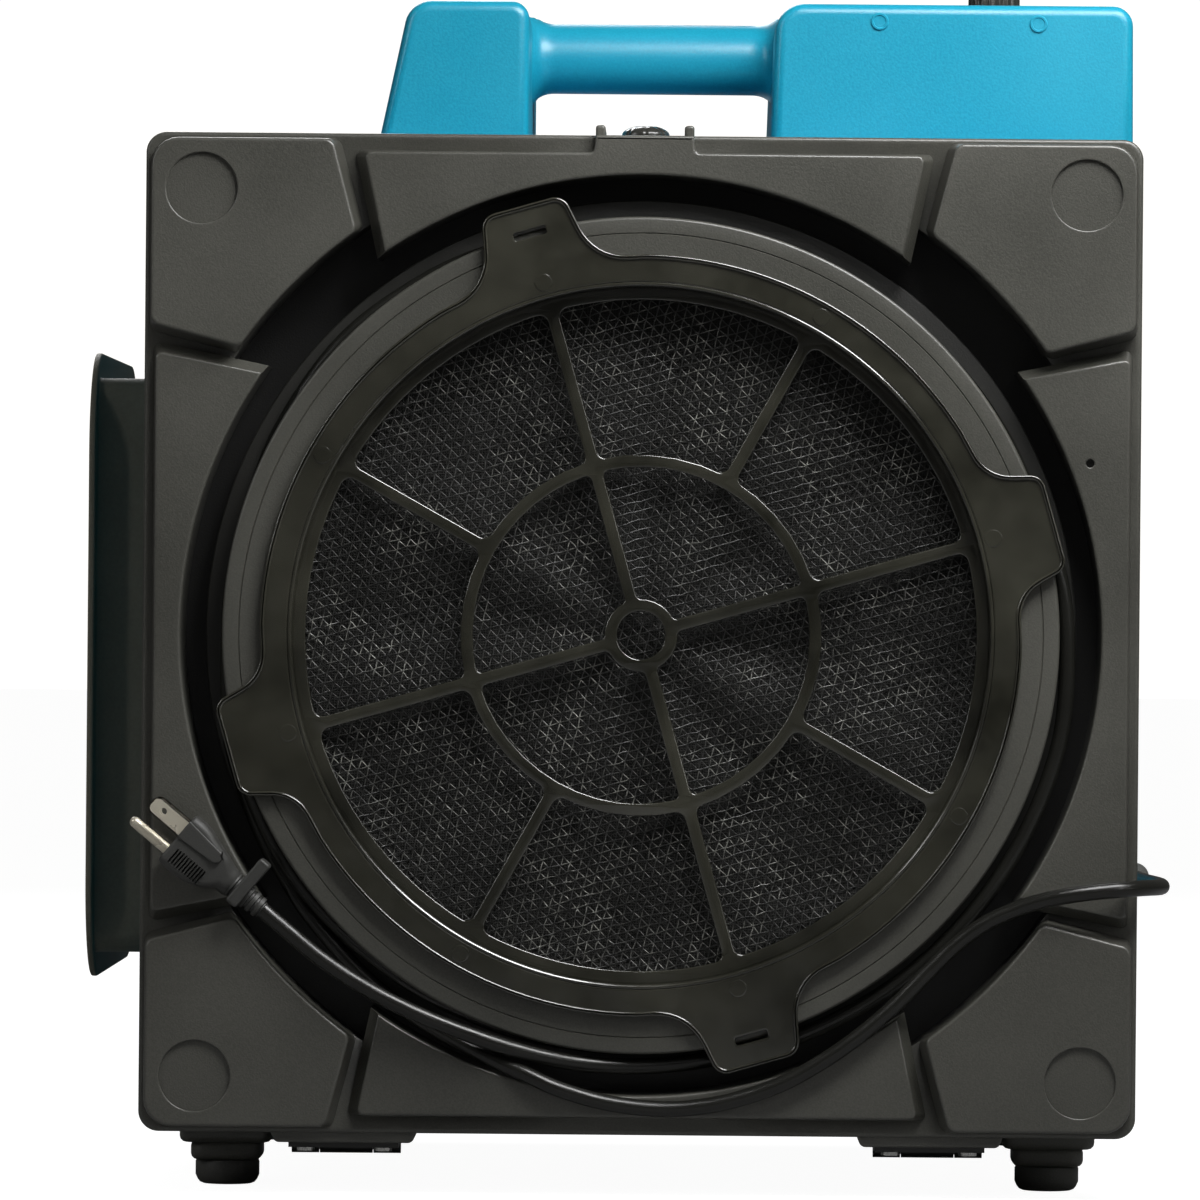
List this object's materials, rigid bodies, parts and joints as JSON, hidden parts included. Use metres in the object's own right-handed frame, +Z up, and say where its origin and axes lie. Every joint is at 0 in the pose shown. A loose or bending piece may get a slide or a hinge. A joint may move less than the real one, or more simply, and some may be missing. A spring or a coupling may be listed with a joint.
{
  "type": "portable air scrubber",
  "caption": "Square cabinet air cleaner with a round filtered intake on a drop-down door, a cord wound round the intake drum, an axial fan in a square side outlet and a top handle.",
  "frame": {"origin": "centre of the footprint's box on the floor, the supply cord left out", "axes": "+X right seen from the intake, +Y towards the back, +Z up"},
  "size_m": [0.4826, 0.4305, 0.545],
  "materials": {
    "blue_shell": "fine speckled satin moulding",
    "slate_frame": "fine spark-eroded grain",
    "black_moulding": "smooth black moulding",
    "smoked_plastic": "smoked translucent polycarbonate",
    "nylon_net": "woven nylon net",
    "black_rubber": "moulded rubber",
    "cord_jacket": "glossy extruded cord jacket",
    "plug_rubber": "moulded plug rubber",
    "plug_metal": "nickel-plated brass",
    "zinc_screw": "zinc plate",
    "black_steel": "black powder coat",
    "motor_paint": "black enamel",
    "motor_alloy": "cast and drawn aluminium",
    "carbon_foam": "carbon-loaded fibre pad",
    "filter_card": "filter frame board",
    "filter_paper": "pleated glass-fibre paper",
    "reset_red": "red button"
  },
  "bodies": {
    "housing": {"housing_shell": "blue_shell", "top_handle": "blue_shell", "base_tray": "slate_frame", "foot_front_left": "black_rubber", "foot_front_right": "black_rubber", "foot_rear_left": "black_rubber", "foot_rear_right": "black_rubber", "foot_screws": "zinc_screw", "rear_bumpers": "black_rubber", "bulkhead": "slate_frame", "outlet_collar": "black_moulding", "outlet_guard": "zinc_screw", "collar_screws": "zinc_screw", "fan_shroud": "slate_frame", "motor_bracket": "zinc_screw", "motor_body": "motor_paint", "motor_end_cap": "motor_alloy", "front_bearing": "zinc_screw", "run_capacitor": "motor_alloy", "capacitor_clamp": "zinc_screw", "carbon_filter": "carbon_foam", "hepa_frame": "filter_card", "hepa_media": "filter_paper", "hepa_gasket": "black_rubber", "body_hinge_leaves": "black_steel", "hinge_pins": "zinc_screw", "hinge_screws": "zinc_screw", "latch_keeper": "black_steel", "speed_switch": "black_moulding", "switch_nut": "zinc_screw", "breaker_body": "black_moulding", "handle_screws": "zinc_screw", "cord_gland": "black_rubber", "gland_nut": "black_moulding", "inner_lead": "cord_jacket"},
    "door": {"door_frame": "slate_frame", "cord_drum": "slate_frame", "door_gasket": "black_rubber", "door_hinge_leaves": "black_steel", "door_hinge_screws": "zinc_screw", "cord_lead": "cord_jacket", "cord_coil": "cord_jacket", "cord_tail": "cord_jacket", "plug_body": "plug_rubber", "plug_blades": "plug_metal", "plug_ground_pin": "plug_metal", "plug_clip": "plug_rubber"},
    "latch": {"latch_knob": "black_moulding", "latch_shaft": "zinc_screw", "latch_cam": "zinc_screw"},
    "prefilter": {"prefilter_frame": "smoked_plastic", "prefilter_grille": "smoked_plastic", "prefilter_mesh": "nylon_net"},
    "fan": {"impeller": "black_moulding", "impeller_nut": "zinc_screw", "motor_shaft": "motor_alloy"},
    "speed_dial": {"speed_knob": "black_moulding"},
    "reset": {"reset_button": "reset_red"}
  },
  "joints": [
    {"name": "door_swing", "type": "hinge", "parent": "housing", "child": "door", "pos_m": [0.01625, -0.158, 0.0193], "axis": [1, 0, 0], "range_deg": [0, 90]},
    {"name": "latch_turn", "type": "hinge", "parent": "door", "child": "latch", "pos_m": [0.01625, -0.14, 0.462], "axis": [0, 0, 1], "range_deg": [0, 90]},
    {"name": "prefilter_turn", "type": "hinge", "parent": "door", "child": "prefilter", "pos_m": [0.01625, -0.201, 0.245], "axis": [0, 1, 0], "range_deg": [0, 15]},
    {"name": "fan_spin", "type": "hinge", "parent": "housing", "child": "fan", "pos_m": [-0.13375, 0.0635, 0.229], "axis": [-1, 0, 0], "continuous": true},
    {"name": "speed_turn", "type": "hinge", "parent": "housing", "child": "speed_dial", "pos_m": [0.17325, -0.055, 0.535], "axis": [0, 0, -1], "range_deg": [0, 150]},
    {"name": "reset_press", "type": "slide", "parent": "housing", "child": "reset", "axis": [0, 0, -1], "range_m": [0, 0.0015], "stiffness_N_per_m": 800}
  ]
}
